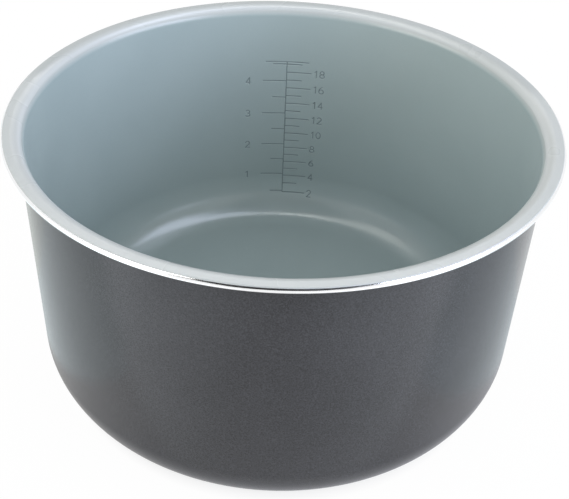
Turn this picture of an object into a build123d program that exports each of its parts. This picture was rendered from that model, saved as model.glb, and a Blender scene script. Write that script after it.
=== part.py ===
from build123d import *
import math
import os

# Removable inner pot of a countertop pressure cooker, in millimetres.
# +Z is up along the pot's axis, z = 0 is the bare contact face under the base,
# and the level scale is on the inside of the +Y wall.

# Driving dimensions
mouth_diameter = 240.0     # inside of the lined wall
flange_width = 10.0        # lined wall to the outer edge of the flange
pot_height = 141.5         # contact face to the top of the flange
sheet = 2.1                # drawn aluminium in the wall and the flange
base_sheet = 4.0           # aluminium in the base, contact face to lining
lining = 0.4               # ceramic coat inside and on the flange
coat = 0.4                 # dark coat outside
flange_bend = 2.9          # hollow rounding under the flange, on the coat
floor_radius = 24.0        # rounding from the floor up to the wall
contact_margin = 8.0       # coated flat ring between the heel and the bare contact face
contact_step = 0.4         # how far the contact face stands proud of the coat, with a chamfer

# Level scale, engraved in the lining
cup = 236.588e3            # one US cup, in cubic millimetres
litre = 1.0e6              # one litre, in cubic millimetres
fill_share = 0.747         # highest fill as a share of what the pot holds to the brim
first_cup = 2              # lowest mark on the cup side
cup_label_step = 2         # every second cup mark is a long one
litre_step = 0.5           # marks on the litre side
mark_width = 0.9           # stroke of a groove
mark_share = 0.6           # depth of a groove as a share of the lining's thickness
long_cup_mark = 14.5       # reach of each mark from the upright line
short_cup_mark = 9.0
long_litre_mark = 14.0
short_litre_mark = 8.0
fill_mark_right = 12.8
fill_mark_left = 12.6

# Radii and heights that follow from them
lined_r = mouth_diameter / 2
metal_in_r = lined_r + lining
metal_out_r = metal_in_r + sheet
coated_r = metal_out_r + coat
edge_r = lined_r + flange_width
edge_round = sheet / 2
flange_end_r = edge_r - edge_round

wall = lining + sheet + coat
mouth_radius = flange_bend + wall
heel_radius = floor_radius + wall
mark_depth = mark_share * lining

rim_top = pot_height
flange_top = rim_top - lining
flange_under = flange_top - sheet
coat_under = flange_under - coat
floor_z = base_sheet + lining
coat_base = contact_step
metal_base = contact_step + coat

bend_r = lined_r + mouth_radius
bend_z = rim_top - mouth_radius
floor_bend_r = lined_r - floor_radius
floor_bend_z = floor_z + floor_radius
heel_bend_r = coated_r - heel_radius
heel_bend_z = coat_base + heel_radius
contact_r = heel_bend_r - contact_margin
under_radius = flange_bend + coat
under_z = flange_under - under_radius


def quarter(centre_r, centre_z, radius, start_angle, turn):
    """Quarter round in the radius-height plane, with angles from the radius axis."""
    return CenterArc((centre_r, centre_z), radius, start_angle, turn)


def turned(*edges):
    """Solid of revolution about the pot's axis from a closed outline of edges."""
    outline = Wire([Plane.XZ * edge for edge in edges])
    return revolve(Face(outline), Axis.Z)


def make_pot_shell():
    """Drawn aluminium pot: floor, wall, rolled flange with a round edge, raised contact face."""
    inner_bend = mouth_radius - lining
    inner_floor = floor_radius + lining
    outer_heel = heel_radius - coat
    return turned(
        Line((0, 0), (contact_r - contact_step, 0)),
        Line((contact_r - contact_step, 0), (contact_r, coat_base)),
        Line((contact_r, coat_base), (contact_r, metal_base)),
        Line((contact_r, metal_base), (heel_bend_r, metal_base)),
        quarter(heel_bend_r, heel_bend_z, outer_heel, -90, 90),
        Line((metal_out_r, heel_bend_z), (metal_out_r, under_z)),
        quarter(bend_r, under_z, under_radius, 180, -90),
        Line((bend_r, flange_under), (flange_end_r, flange_under)),
        CenterArc((flange_end_r, flange_top - edge_round), edge_round, -90, 180),
        Line((flange_end_r, flange_top), (bend_r, flange_top)),
        quarter(bend_r, bend_z, inner_bend, 90, 90),
        Line((metal_in_r, bend_z), (metal_in_r, floor_bend_z)),
        quarter(floor_bend_r, floor_bend_z, inner_floor, 0, -90),
        Line((floor_bend_r, base_sheet), (0, base_sheet)),
        Line((0, base_sheet), (0, 0)),
    )


def make_lining_body():
    """Ceramic coat over the floor, the inside wall and the top of the flange."""
    metal_bend = mouth_radius - lining
    metal_floor = floor_radius + lining
    return turned(
        Line((0, base_sheet), (floor_bend_r, base_sheet)),
        quarter(floor_bend_r, floor_bend_z, metal_floor, -90, 90),
        Line((metal_in_r, floor_bend_z), (metal_in_r, bend_z)),
        quarter(bend_r, bend_z, metal_bend, 180, -90),
        Line((bend_r, flange_top), (flange_end_r, flange_top)),
        quarter(flange_end_r - lining, flange_top, lining, 0, 90),
        Line((flange_end_r - lining, rim_top), (bend_r, rim_top)),
        quarter(bend_r, bend_z, mouth_radius, 90, 90),
        Line((lined_r, bend_z), (lined_r, floor_bend_z)),
        quarter(floor_bend_r, floor_bend_z, floor_radius, 0, -90),
        Line((floor_bend_r, floor_z), (0, floor_z)),
        Line((0, floor_z), (0, base_sheet)),
    )


def make_outer_coat():
    """Dark coat from under the flange, down the wall and round the heel to the contact face."""
    metal_heel = heel_radius - coat
    return turned(
        Line((contact_r, coat_base), (heel_bend_r, coat_base)),
        quarter(heel_bend_r, heel_bend_z, heel_radius, -90, 90),
        Line((coated_r, heel_bend_z), (coated_r, under_z)),
        quarter(bend_r, under_z, flange_bend, 180, -90),
        Line((bend_r, coat_under), (flange_end_r - coat, coat_under)),
        quarter(flange_end_r - coat, flange_under, coat, -90, 90),
        Line((flange_end_r, flange_under), (bend_r, flange_under)),
        quarter(bend_r, under_z, under_radius, 90, 90),
        Line((metal_out_r, under_z), (metal_out_r, heel_bend_z)),
        quarter(heel_bend_r, heel_bend_z, metal_heel, 0, -90),
        Line((heel_bend_r, metal_base), (contact_r, metal_base)),
        Line((contact_r, metal_base), (contact_r, coat_base)),
    )


def volume_below(depth):
    """Volume that the lined pot holds when filled to a depth above its floor."""
    curved = min(depth, floor_radius)
    chord = math.sqrt(2 * floor_radius * curved - curved ** 2)
    lean = math.asin((curved - floor_radius) / floor_radius) + math.pi / 2
    segment = (curved - floor_radius) / 2 * chord + floor_radius ** 2 / 2 * lean
    bowl = floor_bend_r ** 2 * curved + 2 * floor_bend_r * segment
    bowl += floor_radius * curved ** 2 - curved ** 3 / 3
    straight = max(depth - floor_radius, 0) * lined_r ** 2
    return math.pi * (bowl + straight)


def level_for(volume):
    """Height of the mark for a volume, found by halving the pot's depth."""
    low = 0.0
    high = rim_top - floor_z
    for _ in range(50):
        middle = (low + high) / 2
        if volume_below(middle) < volume:
            low = middle
        else:
            high = middle
    return floor_z + low


def groove(low, high, left, right):
    """Groove in the lining between two heights and two arc lengths from the upright line."""
    deep_r = lined_r + mark_depth
    clear_r = lined_r - mark_width
    deep_floor = floor_radius + mark_depth
    clear_floor = floor_radius - mark_width
    skin = Face(Wire([
        Line((floor_bend_r, floor_bend_z - deep_floor), (floor_bend_r, floor_bend_z - clear_floor)),
        quarter(floor_bend_r, floor_bend_z, clear_floor, -90, 90),
        Line((clear_r, floor_bend_z), (clear_r, rim_top)),
        Line((clear_r, rim_top), (deep_r, rim_top)),
        Line((deep_r, rim_top), (deep_r, floor_bend_z)),
        quarter(floor_bend_r, floor_bend_z, deep_floor, 0, -90),
    ]))
    window = Pos(lined_r, (low + high) / 2) * Rectangle(2 * floor_radius, high - low)
    section = Plane.XZ * (Sketch() + skin & window)
    sweep = math.degrees((right - left) / lined_r)
    swing = 90 - math.degrees(right / lined_r)
    return Rot(0, 0, swing) * revolve(section, Axis.Z, sweep)


def tick(volume, left, right):
    """Level groove for one volume."""
    level = level_for(volume)
    return groove(level - mark_width / 2, level + mark_width / 2, left, right)


def make_scale():
    """Upright line with cup marks to its right, litre marks to its left and the highest fill."""
    inset = mark_width / 4
    fill = fill_share * volume_below(rim_top - floor_z)
    marks = [tick(fill, -fill_mark_left, fill_mark_right)]
    for count in range(first_cup, int(fill / cup) + 1):
        reach = short_cup_mark if count % cup_label_step else long_cup_mark
        marks.append(tick(count * cup, inset, reach))
    for count in range(1, int(fill / litre / litre_step) + 1):
        whole = (count * litre_step).is_integer()
        reach = long_litre_mark if whole else short_litre_mark
        marks.append(tick(count * litre_step * litre, -reach, -inset))
    bottom = level_for(first_cup * cup)
    marks.append(groove(bottom, level_for(fill), -mark_width / 2, mark_width / 2))
    return marks


def make_inner_lining():
    """Ceramic coat with the level scale engraved in it."""
    return make_lining_body() - make_scale()


nodes = {
    "pot_shell": make_pot_shell(),
    "inner_lining": make_inner_lining(),
    "outer_coat": make_outer_coat(),
}

os.makedirs("parts", exist_ok=True)
for name, solid in nodes.items():
    solid.label = name
    export_step(solid, f"parts/{name}.step")

print("brim capacity in litres:", round(volume_below(rim_top - floor_z) / litre, 2))
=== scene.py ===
import bisect
import math

import bpy
import numpy as np
from mathutils import Matrix, Vector


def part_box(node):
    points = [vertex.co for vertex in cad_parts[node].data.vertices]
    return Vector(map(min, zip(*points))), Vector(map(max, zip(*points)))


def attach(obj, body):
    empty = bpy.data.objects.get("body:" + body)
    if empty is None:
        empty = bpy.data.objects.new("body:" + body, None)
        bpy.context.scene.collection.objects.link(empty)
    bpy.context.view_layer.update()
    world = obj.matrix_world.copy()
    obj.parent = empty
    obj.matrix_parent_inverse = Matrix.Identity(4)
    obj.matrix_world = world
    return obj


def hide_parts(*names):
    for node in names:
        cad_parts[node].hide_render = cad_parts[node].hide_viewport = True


# Inner pot of a countertop pressure cooker: three turned pieces that stand for the
# CAD solids, in metres, with +Z up and the level scale on the inside of the +Y wall.
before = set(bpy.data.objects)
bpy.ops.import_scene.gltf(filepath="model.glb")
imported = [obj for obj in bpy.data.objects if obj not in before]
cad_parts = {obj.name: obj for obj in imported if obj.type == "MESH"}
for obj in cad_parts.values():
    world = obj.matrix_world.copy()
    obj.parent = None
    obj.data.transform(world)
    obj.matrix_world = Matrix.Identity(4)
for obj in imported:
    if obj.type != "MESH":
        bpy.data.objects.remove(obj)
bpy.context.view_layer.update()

MM = 0.001

# Sizes read from the frame
edge_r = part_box("pot_shell")[1].x
flange_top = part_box("pot_shell")[1].z
rim_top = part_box("inner_lining")[1].z
flange_end_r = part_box("inner_lining")[1].x
base_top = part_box("inner_lining")[0].z
flange_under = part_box("outer_coat")[1].z
coat_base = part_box("outer_coat")[0].z

# Sizes that the frame's boxes don't hold
flange_width = 10 * MM
flange_bend = 2.9 * MM
floor_radius = 24 * MM
contact_margin = 8 * MM
coat = 0.4 * MM

# Radii and heights that follow
lining = rim_top - flange_top
sheet = flange_top - flange_under
wall = lining + sheet + coat
edge_round = sheet / 2
mouth_radius = flange_bend + wall
heel_radius = floor_radius + wall
under_radius = flange_bend + coat

lined_r = edge_r - flange_width
metal_in_r = lined_r + lining
metal_out_r = metal_in_r + sheet
coated_r = metal_out_r + coat
bend_r = lined_r + mouth_radius
floor_bend_r = lined_r - floor_radius
heel_bend_r = coated_r - heel_radius
contact_r = heel_bend_r - contact_margin

floor_z = base_top + lining
bend_z = rim_top - mouth_radius
floor_bend_z = floor_z + floor_radius
heel_bend_z = coat_base + heel_radius
under_z = flange_under - under_radius
metal_base = coat_base + coat
coat_under = flange_under - coat

# Level scale
cup = 236.588e-6
litre = 1e-3
fill_share = 0.747
first_cup = 2
litre_step = 0.5
long_cup_mark = 14.5 * MM
short_cup_mark = 9 * MM
long_litre_mark = 14 * MM
short_litre_mark = 8 * MM
fill_mark_right = 12.8 * MM
fill_mark_left = 12.6 * MM
groove_half_width = 0.6 * MM
groove_depth = 0.34 * MM
digit_height = 4.3 * MM
digit_width = 2.7 * MM
digit_step = 3.5 * MM
cup_digits_start = 16.4 * MM
litre_digits_end = -21.6 * MM

# Mesh fineness
columns = 216
panel_columns = 8
panel_top = 112 * MM
panel_turn = 42
coarse_wall = 8.6 * MM
coarse_arc = 2.1 * MM
digit_grid = 0.2 * MM
groove_cuts = 3
least_gap = 0.05 * MM
column_turn = 2 * math.pi / columns
tiny = 1e-9

# Colours, as linear shares of red, green and blue
ceramic_dark = (0.335, 0.405, 0.412)
ceramic_light = (0.370, 0.440, 0.446)
# Painted sheen: the flange top is coloured paler to stand in for the light that glances off it
painted_flange_sheen = (0.433, 0.451, 0.450)
# Painted highlight: a pale band along the mouth rounding
painted_crest_highlight = (0.48, 0.51, 0.515)
# Painted shade: darker colour for the bottoms of the engraved grooves
painted_groove_shade = (0.18, 0.223, 0.233)
paint_dark = (0.010, 0.0108, 0.0130)
paint_flake = (0.044, 0.0455, 0.052)
metal_dark = (0.88, 0.89, 0.90)
metal_light = (0.93, 0.935, 0.94)
floor_grey = (0.86, 0.86, 0.86)
flag_black = (0.02, 0.02, 0.02)
flag_grey = (0.45, 0.45, 0.45)
white = (1.0, 1.0, 1.0)
cool = (0.94, 1.02, 1.26)
warm = (1.02, 1.00, 0.94)

# Stage
floor_reach = 4.0
shadow_start = 88 * MM
shadow_end = 116 * MM
mirrored_shadow_start = 105 * MM
mirrored_shadow_end = 165 * MM
on_floor = 2 * MM
surface_light = 0.8
lamp_aim = Vector((0, 0, 0.1))

# Camera, as fitted to the photograph
image_width = 569
sensor_width = 36
focal_px = 938.9
camera_distance = 445.9 * MM
camera_rise = math.radians(29.263)
camera_pan = math.radians(0.31)
camera_tilt = math.radians(-8.378)
camera_roll = math.radians(2.577)
camera_clip = 10 * MM


# Turned outlines

def line(start, end, steps=1):
    """Straight stretch of an outline: points, each with the normal on its right-hand side."""
    start = np.array(start)
    end = np.array(end)
    along = (end - start) / np.linalg.norm(end - start)
    normal = (along[1], -along[0])
    return [(start + (end - start) * i / steps, normal) for i in range(steps + 1)]


def arc(centre_r, centre_z, radius, start, turn, steps):
    """Round stretch of an outline, with angles in degrees from the radius axis."""
    made = []
    for i in range(steps + 1):
        angle = math.radians(start + turn * i / steps)
        out = np.array((math.cos(angle), math.sin(angle)))
        normal = out if turn > 0 else -out
        made.append((np.array((centre_r, centre_z)) + radius * out, normal))
    return made


class Outline:
    """Rows of a turned surface: points, and a normal before and after each."""

    def __init__(self):
        self.points = []
        self.before = []
        self.after = []
        self.ring = []
        self.panel = None

    def add(self, stretch, ring=None):
        """Appends a stretch. All its rows go round the pot, or those that the second list marks."""
        ring = ring or [True] * len(stretch)
        if self.points:
            self.after[-1] = stretch[0][1]
            stretch = stretch[1:]
            ring = ring[1:]
        for point, normal in stretch:
            self.points.append(point)
            self.before.append(normal)
            self.after.append(normal)
        self.ring += ring
        return len(self.points) - 1


def shell_outline():
    """Aluminium pot, from the middle of its underside to the middle of its floor."""
    made = Outline()
    made.add(line((0, 0), (contact_r - coat_base, 0), 12))
    made.add(line((contact_r - coat_base, 0), (contact_r, coat_base)))
    made.add(line((contact_r, coat_base), (contact_r, metal_base)))
    made.add(line((contact_r, metal_base), (heel_bend_r, metal_base)))
    made.add(arc(heel_bend_r, heel_bend_z, heel_radius - coat, -90, 90, 12))
    made.add(line((metal_out_r, heel_bend_z), (metal_out_r, under_z)))
    made.add(arc(bend_r, under_z, under_radius, 180, -90, 8))
    made.add(line((bend_r, flange_under), (flange_end_r, flange_under)))
    made.add(arc(flange_end_r, flange_top - edge_round, edge_round, -90, 180, 36))
    made.add(line((flange_end_r, flange_top), (bend_r, flange_top)))
    made.add(arc(bend_r, bend_z, mouth_radius - lining, 90, 90, 8))
    made.add(line((metal_in_r, bend_z), (metal_in_r, floor_bend_z)))
    made.add(arc(floor_bend_r, floor_bend_z, floor_radius + lining, 0, -90, 12))
    made.add(line((floor_bend_r, base_top), (0, base_top), 6))
    return made


def lining_outline():
    """Ceramic lining, with the rows of the engraved panel on its wall and floor rounding."""
    made = Outline()
    made.add(line((0, base_top), (floor_bend_r, base_top), 6))
    made.add(arc(floor_bend_r, floor_bend_z, floor_radius + lining, -90, 90, 12))
    made.add(line((metal_in_r, floor_bend_z), (metal_in_r, bend_z)))
    made.add(arc(bend_r, bend_z, mouth_radius - lining, 180, -90, 8))
    made.add(line((bend_r, flange_top), (flange_end_r, flange_top)))
    made.add(arc(flange_end_r - lining, flange_top, lining, 0, 90, 8))
    made.add(line((flange_end_r - lining, rim_top), (bend_r, rim_top), 2))
    made.add(arc(bend_r, bend_z, mouth_radius, 90, 90, 32))
    top = made.add(line((lined_r, bend_z), (lined_r, panel_top), 3))
    levels, ring = panel_levels()
    bottom = made.add([wall_place(level) for level in levels], ring)
    made.add(arc(floor_bend_r, floor_bend_z, floor_radius, -panel_turn, panel_turn - 90, 12))
    made.add(line((floor_bend_r, floor_z), (0, floor_z), 14))
    made.panel = (top, bottom)
    return made


def coat_outline():
    """Dark coat, once round its section from the edge of the contact face."""
    made = Outline()
    made.add(line((contact_r, coat_base), (heel_bend_r, coat_base), 2))
    made.add(arc(heel_bend_r, heel_bend_z, heel_radius, -90, 90, 40))
    made.add(line((coated_r, heel_bend_z), (coated_r, under_z), 8))
    made.add(arc(bend_r, under_z, flange_bend, 180, -90, 16))
    made.add(line((bend_r, coat_under), (flange_end_r - coat, coat_under)))
    made.add(arc(flange_end_r - coat, flange_under, coat, -90, 90, 6))
    made.add(line((flange_end_r, flange_under), (bend_r, flange_under)))
    made.add(arc(bend_r, under_z, under_radius, 90, 90, 8))
    made.add(line((metal_out_r, under_z), (metal_out_r, heel_bend_z)))
    made.add(arc(heel_bend_r, heel_bend_z, heel_radius - coat, 0, -90, 12))
    made.add(line((heel_bend_r, metal_base), (contact_r, metal_base)))
    made.add(line((contact_r, metal_base), (contact_r, coat_base)))
    return made


# Engraved level scale, in lengths to the right of its upright line and up the wall

def volume_below(depth):
    """Volume that the lined pot holds when filled to a depth above its floor."""
    curved = min(depth, floor_radius)
    chord = math.sqrt(2 * floor_radius * curved - curved ** 2)
    lean = math.asin((curved - floor_radius) / floor_radius) + math.pi / 2
    segment = (curved - floor_radius) / 2 * chord + floor_radius ** 2 / 2 * lean
    bowl = floor_bend_r ** 2 * curved + 2 * floor_bend_r * segment
    bowl += floor_radius * curved ** 2 - curved ** 3 / 3
    straight = max(depth - floor_radius, 0) * lined_r ** 2
    return math.pi * (bowl + straight)


def climb(height):
    """Length up the floor rounding and the wall to a height, from the top of the rounding."""
    if height >= floor_bend_z:
        return height - floor_bend_z
    return -floor_radius * math.asin((floor_bend_z - height) / floor_radius)


def level_for(volume):
    """Length up the wall to the mark for a volume, found by halving the pot's depth."""
    low = 0.0
    high = rim_top - floor_z
    for _ in range(50):
        middle = (low + high) / 2
        if volume_below(middle) < volume:
            low = middle
        else:
            high = middle
    return climb(floor_z + low)


def highest_fill():
    """Volume at the mark of the highest fill."""
    return fill_share * volume_below(rim_top - floor_z)


def bow(centre_x, centre_y, half_width, half_height, start, end, steps=16):
    """Points of an oval arc in a digit's own square."""
    angles = [math.radians(start + (end - start) * i / steps) for i in range(steps + 1)]
    return [(centre_x + half_width * math.cos(a), centre_y + half_height * math.sin(a)) for a in angles]


def digit_strokes(digit):
    """Strokes of a plain digit, one digit wide and one digit high."""
    if digit == "0":
        return [bow(0.5, 0.5, 0.5, 0.5, 0, 360, 28)]
    if digit == "1":
        return [[(0.18, 0.78), (0.55, 1), (0.55, 0)]]
    if digit == "2":
        return [bow(0.5, 0.71, 0.46, 0.29, 165, -35) + [(0.04, 0), (1, 0)]]
    if digit == "3":
        return [bow(0.46, 0.76, 0.42, 0.24, 150, -90), bow(0.46, 0.26, 0.5, 0.26, 90, -150)]
    if digit == "4":
        return [[(0.76, 0), (0.76, 1), (0, 0.28), (1, 0.28)]]
    if digit == "6":
        return [bow(0.5, 0.31, 0.5, 0.31, 0, 360, 24), bow(1.0, 0.31, 1.0, 0.69, 180, 105)]
    if digit == "8":
        return [bow(0.5, 0.76, 0.4, 0.24, 0, 360, 24), bow(0.5, 0.26, 0.5, 0.26, 0, 360, 24)]
    raise ValueError(digit)


def number_strokes(number, left, middle):
    """Strokes of a whole number with its left side and its middle height given."""
    made = []
    for place, digit in enumerate(str(number)):
        for stroke in digit_strokes(digit):
            made.append([
                (left + place * digit_step + x * digit_width, middle + (y - 0.5) * digit_height)
                for x, y in stroke])
    return made


def numbered_levels():
    """Lengths up the wall to the marks that carry a number."""
    fill = highest_fill()
    cups = [count * cup for count in range(first_cup, int(fill / cup) + 1, 2)]
    litres = [count * litre for count in range(1, int(fill / litre) + 1)]
    return [level_for(volume) for volume in cups + litres]


def scale_strokes():
    """All strokes of the scale: upright line, cups to its right, litres to its left, highest fill."""
    fill = highest_fill()
    top = level_for(fill)
    made = [
        [(0, level_for(first_cup * cup)), (0, top)],
        [(-fill_mark_left, top), (fill_mark_right, top)],
    ]
    for count in range(first_cup, int(fill / cup) + 1):
        level = level_for(count * cup)
        if count % 2:
            made.append([(0, level), (short_cup_mark, level)])
        else:
            made.append([(0, level), (long_cup_mark, level)])
            made += number_strokes(count, cup_digits_start, level)
    for count in range(1, int(fill / litre / litre_step) + 1):
        level = level_for(count * litre_step * litre)
        if count % 2:
            made.append([(-short_litre_mark, level), (0, level)])
        else:
            made.append([(-long_litre_mark, level), (0, level)])
            made += number_strokes(count // 2, litre_digits_end - digit_width, level)
    return made


def engraving(across, up):
    """Groove depth on the panel's grid of lengths across and up, and its slopes across and up."""
    deepest = np.zeros((3, len(up), len(across)))
    for stroke in scale_strokes():
        for (x0, y0), (x1, y1) in zip(stroke, stroke[1:]):
            near_x = np.abs(across - (x0 + x1) / 2) <= abs(x1 - x0) / 2 + groove_half_width
            near_y = np.abs(up - (y0 + y1) / 2) <= abs(y1 - y0) / 2 + groove_half_width
            gx, gy = np.meshgrid(across[near_x], up[near_y])
            run = (x1 - x0) ** 2 + (y1 - y0) ** 2
            share = np.clip(((gx - x0) * (x1 - x0) + (gy - y0) * (y1 - y0)) / run, 0, 1)
            off_x = gx - x0 - share * (x1 - x0)
            off_y = gy - y0 - share * (y1 - y0)
            away = np.maximum(np.hypot(off_x, off_y), tiny)
            swing = np.pi * np.clip(away / groove_half_width, 0, 1)
            depth = groove_depth * (1 + np.cos(swing)) / 2
            steep = -groove_depth * np.pi / groove_half_width * np.sin(swing) / 2 / away
            window = np.ix_([True] * 3, near_y, near_x)
            made = np.stack((depth, steep * off_x, steep * off_y))
            deepest[window] = np.where(depth > deepest[window][0], made, deepest[window])
    return deepest


# Grid of the engraved panel: close together only where the scale has its grooves

def spread(low, high, step):
    """Even places from low to high, about a step apart."""
    count = math.ceil((high - low) / step)
    return [low + (high - low) * i / count for i in range(count + 1)]


def joined(first, second):
    """The first places, and those of the second that keep clear of the ones before them."""
    made = sorted(first)
    for place in second:
        i = bisect.bisect(made, place)
        if all(abs(place - other) > least_gap for other in made[max(i - 1, 0):i + 1]):
            made.insert(i, place)
    return made


def groove_places(middles):
    """Places across grooves with the given middles."""
    cuts = range(-groove_cuts, groove_cuts + 1)
    return [middle + groove_half_width * cut / groove_cuts for middle in middles for cut in cuts]


def wall_place(level):
    """Point and normal of the lining at a length up the floor rounding and the wall."""
    if level >= 0:
        return np.array((lined_r, floor_bend_z + level)), (-1.0, 0.0)
    angle = level / floor_radius
    out = np.array((math.cos(angle), math.sin(angle)))
    return np.array((floor_bend_r, floor_bend_z)) + floor_radius * out, -out


def panel_levels():
    """Rows of the panel from its top down, and which of them go all round the pot."""
    foot = -math.radians(panel_turn) * floor_radius
    around = spread(foot, 0, coarse_arc)[:-1] + spread(0, panel_top - floor_bend_z, coarse_wall)
    low = foot + groove_half_width
    high = panel_top - floor_bend_z - groove_half_width
    level_strokes = [stroke for stroke in scale_strokes() if stroke[0][1] == stroke[1][1]]
    grooves = groove_places(sorted({stroke[0][1] for stroke in level_strokes}))
    digits = []
    half = digit_height / 2 + groove_half_width
    for level in numbered_levels():
        digits += spread(max(level - half, low), min(level + half, high), digit_grid)
    levels = joined(joined(around, grooves), digits)
    return levels[::-1], [level in around for level in levels[::-1]]


def panel_turns():
    """Angles of all columns round the pot, and which of them belong to all rows."""
    around = [column_turn * i for i in range(-columns // 2, columns // 2 + 1)]
    ends = [long_cup_mark, short_cup_mark, -long_litre_mark, -short_litre_mark]
    grooves = groove_places([0] + ends + [fill_mark_right, -fill_mark_left])
    cups = spread(
        cup_digits_start - groove_half_width,
        cup_digits_start + digit_step + digit_width + groove_half_width, digit_grid)
    litres = spread(
        litre_digits_end - digit_width - groove_half_width,
        litre_digits_end + groove_half_width, digit_grid)
    placed = joined(joined([angle * lined_r for angle in around], grooves), cups + litres)
    turns = np.array(placed) / lined_r
    return turns, [bool(np.min(np.abs(turn - around)) < tiny) for turn in turns]


turns, ring_turns = panel_turns()
panel_left = int(np.argmin(np.abs(turns + panel_columns * column_turn)))
panel_right = int(np.argmin(np.abs(turns - panel_columns * column_turn)))


# Meshes

def on_panel(rows, row, column):
    """True for a place on the engraved panel or its border."""
    if rows.panel is None:
        return False
    return rows.panel[0] <= row <= rows.panel[1] and panel_left <= column <= panel_right


def ring_face(rows, low, high, left, right):
    """Corners (row, column, side) of the face between two rows and two columns.

    Where the face borders the panel, the panel's finer points on that border are its corners too.
    """
    def columns_on(row):
        fine = on_panel(rows, row, left) and on_panel(rows, row, right)
        return list(range(left, right + 1)) if fine else [left, right]

    def rows_on(column):
        fine = on_panel(rows, low, column) and on_panel(rows, high, column)
        return list(range(low, high + 1)) if fine else [low, high]

    corners = [(row, left, 1) for row in rows_on(left)[:-1]]
    corners += [(high, column, -1) for column in columns_on(high)[:-1]]
    corners += [(row, right, -1) for row in rows_on(right)[:0:-1]]
    corners += [(low, column, 1) for column in columns_on(low)[:0:-1]]
    if rows.points[low][0] == 0:
        corners.remove((low, right, 1))
    if rows.points[high][0] == 0:
        corners.remove((high, left, -1))
    return corners


def ring_faces(rows):
    """Faces between the rows that go all the way round, apart from the panel's."""
    made = []
    across = [column for column, coarse in enumerate(ring_turns) if coarse]
    along = [row for row, coarse in enumerate(rows.ring) if coarse]
    for low, high in zip(along, along[1:]):
        for left, right in zip(across, across[1:]):
            if not (on_panel(rows, low, left) and on_panel(rows, high, right)):
                made.append(ring_face(rows, low, high, left, right))
    return made


def panel_faces(rows):
    """Fine faces of the engraved panel."""
    if rows.panel is None:
        return []
    top, bottom = rows.panel
    made = []
    for row in range(top, bottom):
        for column in range(panel_left, panel_right):
            low = [(row, column + 1, 1), (row, column, 1)]
            made.append([(row + 1, column, -1), (row + 1, column + 1, -1)] + low)
    return made


def carve(rows, row, column):
    """Groove depth, slope across and slope up at places on a turned surface."""
    made = np.zeros((3, len(row)))
    if rows.panel is not None:
        top, bottom = rows.panel
        across = turns[panel_left:panel_right + 1] * lined_r
        up = np.array([climb(rows.points[r][1]) for r in range(top, bottom + 1)])
        on = (row >= top) & (row <= bottom) & (column >= panel_left) & (column <= panel_right)
        made[:, on] = engraving(across, up)[:, row[on] - top, column[on] - panel_left]
    return made


def turned(name, rows, material):
    """Closed mesh of an outline turned about the pot's axis, with its own exact normals."""
    faces = ring_faces(rows) + panel_faces(rows)
    row, column, side = np.array([corner for face in faces for corner in face]).T
    points = np.array(rows.points)
    column = np.where(points[row, 0] == 0, 0, column % (len(turns) - 1))
    normal = np.where((side > 0)[:, None], np.array(rows.after)[row], np.array(rows.before)[row])
    depth, across_slope, up_slope = carve(rows, row, column)

    angle = turns[column]
    out = np.stack((np.sin(angle), np.cos(angle), 0 * angle), 1)
    right = np.stack((np.cos(angle), -np.sin(angle), 0 * angle), 1)
    up = np.array((0, 0, 1))
    straight = out * normal[:, :1] + up * normal[:, 1:]
    upward = out * normal[:, 1:] - up * normal[:, :1]
    tilted = straight + right * across_slope[:, None] + upward * up_slope[:, None]
    tilted /= np.linalg.norm(tilted, axis=1)[:, None]
    place = out * points[row, :1] + up * points[row, 1:] - straight * depth[:, None]

    closed = np.allclose(points[0], points[-1])
    ring = row % (len(points) - 1) if closed else row
    _, first, corner = np.unique(ring * len(turns) + column, return_index=True, return_inverse=True)
    ends = np.cumsum([len(face) for face in faces])
    mesh = bpy.data.meshes.new(name)
    mesh.from_pydata(place[first].tolist(), [], [f.tolist() for f in np.split(corner, ends[:-1])])
    mesh.polygons.foreach_set("use_smooth", [True] * len(mesh.polygons))
    mesh.normals_split_custom_set(tilted.tolist())
    groove = mesh.attributes.new("groove", "FLOAT", "POINT")
    groove.data.foreach_set("value", depth[first] / groove_depth)
    mesh.materials.append(material)
    made = bpy.data.objects.new(name, mesh)
    bpy.context.scene.collection.objects.link(made)
    return made


# Materials

def wire(tree, source, target):
    """Links a socket to a target, or sets the target to a plain value."""
    if isinstance(source, bpy.types.NodeSocket):
        tree.links.new(source, target)
    else:
        target.default_value = source


def reckon(tree, operation, first, second=0.0):
    """Output of a Math node."""
    made = tree.nodes.new("ShaderNodeMath")
    made.operation = operation
    wire(tree, first, made.inputs[0])
    wire(tree, second, made.inputs[1])
    return made.outputs[0]


def parted(tree, place):
    """X, Y and Z of a place."""
    made = tree.nodes.new("ShaderNodeSeparateXYZ")
    wire(tree, place, made.inputs[0])
    return made.outputs


def stretched(tree, x, y, z):
    """Vector from three sockets."""
    made = tree.nodes.new("ShaderNodeCombineXYZ")
    for source, target in zip((x, y, z), made.inputs):
        wire(tree, source, target)
    return made.outputs[0]


def ring_place(tree, place):
    """Place that changes fast away from the pot's axis and slowly along a ring round it."""
    slow = 9.0
    fast = 1800.0
    x, y, _ = parted(tree, place)
    across = reckon(tree, "ADD", reckon(tree, "MULTIPLY", x, x), reckon(tree, "MULTIPLY", y, y))
    radius = reckon(tree, "SQRT", across)
    return stretched(
        tree,
        reckon(tree, "MULTIPLY", x, slow),
        reckon(tree, "MULTIPLY", y, slow),
        reckon(tree, "MULTIPLY", radius, fast),
    )


def noise(tree, vector, scale, detail=2.0, roughness=0.5):
    """Value of a noise texture."""
    made = tree.nodes.new("ShaderNodeTexNoise")
    wire(tree, vector, made.inputs["Vector"])
    made.inputs["Scale"].default_value = scale
    made.inputs["Detail"].default_value = detail
    made.inputs["Roughness"].default_value = roughness
    return made.outputs["Fac"]


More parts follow.
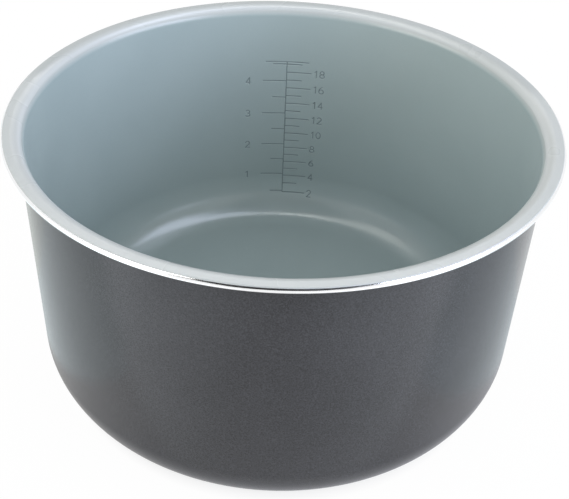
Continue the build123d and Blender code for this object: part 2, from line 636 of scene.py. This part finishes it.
def ramp(tree, value, low, high, start, end):
    """Value mapped from low..high to start..end and held there."""
    made = tree.nodes.new("ShaderNodeMapRange")
    wire(tree, value, made.inputs["Value"])
    made.inputs["From Min"].default_value = low
    made.inputs["From Max"].default_value = high
    made.inputs["To Min"].default_value = start
    made.inputs["To Max"].default_value = end
    return made.outputs["Result"]


def tint(tree, share, first, second):
    """Colour between a colour, or a socket's, and a second colour."""
    made = tree.nodes.new("ShaderNodeMix")
    made.data_type = "RGBA"
    wire(tree, share, made.inputs["Factor"])
    wire(tree, first if isinstance(first, bpy.types.NodeSocket) else (*first, 1), made.inputs["A"])
    made.inputs["B"].default_value = (*second, 1)
    return made.outputs["Result"]


def grooved(tree):
    """How far a place lies down in the engraved grooves, from 0 to 1."""
    made = tree.nodes.new("ShaderNodeAttribute")
    made.attribute_name = "groove"
    return made.outputs["Fac"]


def bump(tree, height, distance, strength, under=None):
    """Normal from a height texture, on top of another one."""
    made = tree.nodes.new("ShaderNodeBump")
    wire(tree, height, made.inputs["Height"])
    made.inputs["Distance"].default_value = distance
    made.inputs["Strength"].default_value = strength
    if under is not None:
        wire(tree, under, made.inputs["Normal"])
    return made.outputs["Normal"]


def surface(name):
    """New material: the material, its tree, its shader and the place on the object."""
    made = bpy.data.materials.new(name)
    made.use_nodes = True
    tree = made.node_tree
    shader = tree.nodes["Principled BSDF"]
    place = tree.nodes.new("ShaderNodeTexCoord").outputs["Object"]
    return made, tree, shader, place


def ceramic():
    """Satin blue-grey ceramic with fine pearl grain and more speckle on the flange; painted sheen makes
    the flange paler, with a painted highlight along the mouth rounding and painted shade in the groove
    bottoms.
    """
    made, tree, shader, place = surface("ceramic_lining")
    z = parted(tree, place)[2]
    on_flange = ramp(tree, z, rim_top - 5.2 * MM, rim_top - 2.6 * MM, 0.0, 1.0)
    speck = noise(tree, place, scale=1100.0, detail=3.0, roughness=0.65)
    cloud = noise(tree, place, scale=22.0, detail=3.0)
    grain = noise(tree, place, scale=2200.0, roughness=0.6)

    cloudy = ramp(tree, cloud, 0.3, 0.7, 0.0, 0.55)
    grainy = ramp(tree, grain, 0.3, 0.7, 0.0, 0.45)
    specked = reckon(tree, "MULTIPLY", on_flange, ramp(tree, speck, 0.35, 0.65, -0.6, 0.6))
    share = reckon(tree, "ADD", reckon(tree, "ADD", cloudy, grainy), specked)
    colour = tint(tree, share, ceramic_dark, ceramic_light)
    # Painted sheen: the flange is tinted paler than the rest of the lining
    colour = tint(tree, reckon(tree, "MULTIPLY", on_flange, 0.8), colour, painted_flange_sheen)
    # Painted highlight: a lighter band painted on the mouth rounding just below the flange
    crest_highlight_rising = ramp(tree, z, rim_top - 2.9 * MM, rim_top - 2.0 * MM, 0.0, 1.0)
    crest_highlight_falling = ramp(tree, z, rim_top - 1.4 * MM, rim_top - 0.6 * MM, 1.0, 0.0)
    colour = tint(tree, reckon(tree, "MULTIPLY", crest_highlight_rising, crest_highlight_falling), colour, painted_crest_highlight)
    # Painted shade: the deepest part of each groove is tinted darker, standing in for the shade inside
    # the recess
    deep = ramp(tree, grooved(tree), 0.45, 0.9, 0.0, 1.0)
    wire(tree, tint(tree, deep, colour, painted_groove_shade), shader.inputs["Base Color"])

    satin = ramp(tree, cloud, 0.3, 0.7, 0.18, 0.22)
    rougher = reckon(tree, "MULTIPLY", on_flange, 0.08)
    wire(tree, reckon(tree, "ADD", satin, rougher), shader.inputs["Roughness"])
    shader.inputs["IOR"].default_value = 1.5
    fine = bump(tree, grain, distance=0.02 * MM, strength=0.25)
    coarse = bump(tree, specked, distance=0.03 * MM, strength=0.3, under=fine)
    wire(tree, coarse, shader.inputs["Normal"])
    return made


def charcoal():
    """Dark satin paint with metallic flakes and a slight orange peel."""
    made, tree, shader, place = surface("dark_coat")
    flake = noise(tree, place, scale=1500.0, roughness=0.7)
    cloud = noise(tree, place, scale=30.0)
    peel = noise(tree, place, scale=650.0)

    flaky = ramp(tree, flake, 0.38, 0.72, 0.0, 0.85)
    cloudy = ramp(tree, cloud, 0.3, 0.7, 0.0, 0.15)
    share = reckon(tree, "ADD", flaky, cloudy)
    wire(tree, tint(tree, share, paint_dark, paint_flake), shader.inputs["Base Color"])

    wire(tree, ramp(tree, flake, 0.35, 0.7, 0.25, 0.19), shader.inputs["Roughness"])
    shader.inputs["IOR"].default_value = 1.45
    fine = bump(tree, flake, distance=0.03 * MM, strength=0.35)
    coarse = bump(tree, peel, distance=0.04 * MM, strength=0.25, under=fine)
    wire(tree, coarse, shader.inputs["Normal"])
    return made


def aluminium():
    """Polished bare aluminium with fine turning marks, duller on the contact face."""
    made, tree, shader, place = surface("bare_aluminium")
    z = parted(tree, place)[2]
    turning = noise(tree, ring_place(tree, place), scale=2.5, roughness=0.6)
    cloud = noise(tree, place, scale=60.0)

    share = ramp(tree, cloud, 0.3, 0.7, 0.0, 1.0)
    wire(tree, tint(tree, share, metal_dark, metal_light), shader.inputs["Base Color"])
    shader.inputs["Metallic"].default_value = 1.0

    polished = ramp(tree, turning, 0.35, 0.65, 0.1, 0.16)
    on_contact_face = ramp(tree, z, 0.2 * MM, 0.5 * MM, 1.0, 0.0)
    duller = reckon(tree, "MULTIPLY", on_contact_face, 0.18)
    wire(tree, reckon(tree, "ADD", polished, duller), shader.inputs["Roughness"])
    wire(tree, bump(tree, turning, distance=0.01 * MM, strength=0.25), shader.inputs["Normal"])
    return made


# Pieces

def dress(name, outline, material, node):
    """Piece that stands for a CAD node and rides on the pot."""
    made = turned(name, outline, material)
    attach(made, "root")
    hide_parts(node)
    return made


dress("aluminium_shell", shell_outline(), aluminium(), "pot_shell")
dress("ceramic_lining", lining_outline(), ceramic(), "inner_lining")
dress("charcoal_coat", coat_outline(), charcoal(), "outer_coat")


# Stage

def seen_rays(tree):
    """1 for what the camera, a reflection or glass sees, 0 for the light that a surface scatters."""
    path = tree.nodes.new("ShaderNodeLightPath").outputs
    shown = reckon(tree, "MAXIMUM", path["Is Camera Ray"], path["Is Glossy Ray"])
    return reckon(tree, "MAXIMUM", shown, path["Is Transmission Ray"])


def rectangle(low, high):
    """Corners of a rectangle between two opposite ones."""
    return [(low[0], low[1]), (high[0], low[1]), (high[0], high[1]), (low[0], high[1])]


def back_arch(inner, outer, reach, steps=30):
    """Corners of an arch between two radii behind the pot, with its reach to either side in degrees."""
    angles = [math.radians(reach * (2 * i / steps - 1)) for i in range(steps + 1)]
    near = [(inner * math.sin(a), inner * math.cos(a)) for a in angles]
    far = [(outer * math.sin(a), outer * math.cos(a)) for a in angles[::-1]]
    return near + far


def level_face(name, corners, height):
    """Level face with the given corners."""
    mesh = bpy.data.meshes.new(name)
    mesh.from_pydata([(x, y, height) for x, y in corners], [], [list(range(len(corners)))])
    made = bpy.data.objects.new(name, mesh)
    bpy.context.scene.collection.objects.link(made)
    return made


def make_floor():
    """Pale floor that is white to the camera and keeps a faint shadow near the pot."""
    near = (-floor_reach, -floor_reach)
    far = (floor_reach, floor_reach)
    floor = level_face("floor", rectangle(near, far), 0.0)
    made = bpy.data.materials.new("pale_floor")
    made.use_nodes = True
    tree = made.node_tree
    tree.nodes.clear()
    place = tree.nodes.new("ShaderNodeTexCoord").outputs["Object"]
    length = tree.nodes.new("ShaderNodeVectorMath")
    length.operation = "LENGTH"
    wire(tree, place, length.inputs[0])
    away = length.outputs["Value"]
    seen = ramp(tree, away, shadow_start, shadow_end, 0.1, 0.97)
    mirrored = ramp(tree, away, mirrored_shadow_start, mirrored_shadow_end, 0.05, 0.97)
    camera_ray = tree.nodes.new("ShaderNodeLightPath").outputs["Is Camera Ray"]
    more = reckon(tree, "MULTIPLY", camera_ray, reckon(tree, "SUBTRACT", seen, mirrored))
    bright = reckon(tree, "ADD", mirrored, more)
    diffuse = tree.nodes.new("ShaderNodeBsdfDiffuse")
    diffuse.inputs["Color"].default_value = (*floor_grey, 1)
    glow = tree.nodes.new("ShaderNodeEmission")
    blend = tree.nodes.new("ShaderNodeMixShader")
    wire(tree, reckon(tree, "MULTIPLY", seen_rays(tree), bright), blend.inputs["Fac"])
    wire(tree, diffuse.outputs[0], blend.inputs[1])
    wire(tree, glow.outputs[0], blend.inputs[2])
    out = tree.nodes.new("ShaderNodeOutputMaterial")
    wire(tree, blend.outputs[0], out.inputs["Surface"])
    floor.data.materials.append(made)


def make_card(name, corners, height, colour, fade=None):
    """Level card with a colour of its own that only reflections show.

    A fade is the two distances from its middle line between which white turns to that colour.
    """
    card = level_face(name, corners, height)
    made = bpy.data.materials.new(name)
    made.use_nodes = True
    tree = made.node_tree
    tree.nodes.clear()
    glow = tree.nodes.new("ShaderNodeEmission")
    if fade:
        place = tree.nodes.new("ShaderNodeTexCoord").outputs["Object"]
        aside = reckon(tree, "ABSOLUTE", parted(tree, place)["X"])
        share = ramp(tree, aside, fade[0], fade[1], 0.0, 1.0)
        wire(tree, tint(tree, share, white, colour), glow.inputs["Color"])
    else:
        glow.inputs["Color"].default_value = (*colour, 1)
    out = tree.nodes.new("ShaderNodeOutputMaterial")
    wire(tree, glow.outputs[0], out.inputs["Surface"])
    card.data.materials.append(made)
    card.visible_camera = False
    card.visible_diffuse = False
    card.visible_shadow = False
    card.visible_transmission = False


def make_world():
    """White to the camera and to reflections, and a dimmer even light on surfaces."""
    world = bpy.data.worlds.new("studio")
    bpy.context.scene.world = world
    world.use_nodes = True
    tree = world.node_tree
    tree.nodes.clear()
    even = tree.nodes.new("ShaderNodeBackground")
    even.inputs["Color"].default_value = (*white, 1)
    even.inputs["Strength"].default_value = surface_light
    bright = tree.nodes.new("ShaderNodeBackground")
    bright.inputs["Color"].default_value = (*white, 1)
    blend = tree.nodes.new("ShaderNodeMixShader")
    wire(tree, seen_rays(tree), blend.inputs["Fac"])
    wire(tree, even.outputs[0], blend.inputs[1])
    wire(tree, bright.outputs[0], blend.inputs[2])
    out = tree.nodes.new("ShaderNodeOutputWorld")
    wire(tree, blend.outputs[0], out.inputs["Surface"])


def softbox(name, place, width, height, watts, colour, diffuse=True, glossy=True):
    """Rectangular soft light that faces the pot, and lights its surfaces, its reflections or both."""
    light = bpy.data.lights.new(name, "AREA")
    light.shape = "RECTANGLE"
    light.size = width
    light.size_y = height
    light.energy = watts
    light.color = colour
    made = bpy.data.objects.new(name, light)
    made.location = place
    aim = lamp_aim - Vector(place)
    made.rotation_euler = aim.to_track_quat("-Z", "Y").to_euler()
    made.visible_diffuse = diffuse
    made.visible_glossy = glossy
    bpy.context.scene.collection.objects.link(made)


def make_camera():
    """Camera at the photograph's viewpoint."""
    rim_centre = Vector((0, 0, rim_top))
    eye = rim_centre + camera_distance * Vector((0, -math.cos(camera_rise), math.sin(camera_rise)))
    straight = (rim_centre - eye).normalized()
    right = straight.cross(Vector((0, 0, 1))).normalized()
    up = right.cross(straight)
    level = straight * math.cos(camera_pan) + right * math.sin(camera_pan)
    forward = level * math.cos(camera_tilt) + up * math.sin(camera_tilt)
    right = forward.cross(Vector((0, 0, 1))).normalized()
    up = right.cross(forward)
    tilted_right = right * math.cos(camera_roll) + up * math.sin(camera_roll)
    tilted_up = up * math.cos(camera_roll) - right * math.sin(camera_roll)
    data = bpy.data.cameras.new("camera")
    data.sensor_width = sensor_width
    data.lens = focal_px / image_width * sensor_width
    data.clip_start = camera_clip
    made = bpy.data.objects.new("camera", data)
    facing = Matrix((tilted_right, tilted_up, -forward)).transposed()
    made.matrix_world = Matrix.Translation(eye) @ facing.to_4x4()
    bpy.context.scene.collection.objects.link(made)
    bpy.context.scene.camera = made


make_floor()
make_card("high_flag", rectangle((-0.38, -1.2), (0.38, 0.05)), 0.97, flag_black)
make_card("rim_flag", back_arch(0.126, 0.2, 70), 0.155, flag_grey)
make_card("edge_flag", rectangle((-0.044, -0.176), (0.054, -0.066)), 0.2, flag_black)
make_card("low_front", rectangle((-0.5, -0.55), (0.5, -0.13)), on_floor, (1.85, 1.95, 2.05), (0.03, 0.25))
make_card("low_left", rectangle((-0.6, -0.13), (-0.13, 0.03)), on_floor, (1.07, 1.17, 1.2))
make_card("low_right", rectangle((0.13, -0.13), (0.6, 0.03)), on_floor, (0.96, 1.04, 1.08))
make_card("low_back_left", rectangle((-0.6, 0.03), (-0.13, 0.5)), on_floor, (1.14, 1.2, 1.17))
make_card("low_back_right", rectangle((0.13, 0.03), (0.6, 0.5)), on_floor, (1.06, 1.09, 1.1))
make_world()
softbox("side_left", (-1.17, -0.5, 0.5), 1.2, 0.7, 7.8, warm)
softbox("side_right", (1.17, -0.5, 0.5), 1.2, 0.7, 12.8, cool)
softbox("front", (0, -1.0, 1.1), 1.0, 0.5, 2.2, white, glossy=False)
softbox("back", (0, 1.0, 0.98), 0.9, 0.25, 2.9, white)
softbox("panel_left", (-0.26, 0.17, 0.95), 0.5, 0.43, 1.7, warm, diffuse=False)
softbox("panel_right", (0.36, 0.1, 0.95), 0.42, 0.5, 3.4, cool, diffuse=False)
softbox("panel_middle", (-0.02, 0.33, 0.97), 0.2, 0.4, 1.6, white, diffuse=False)
make_camera()
bpy.context.scene.view_settings.view_transform = "Standard"
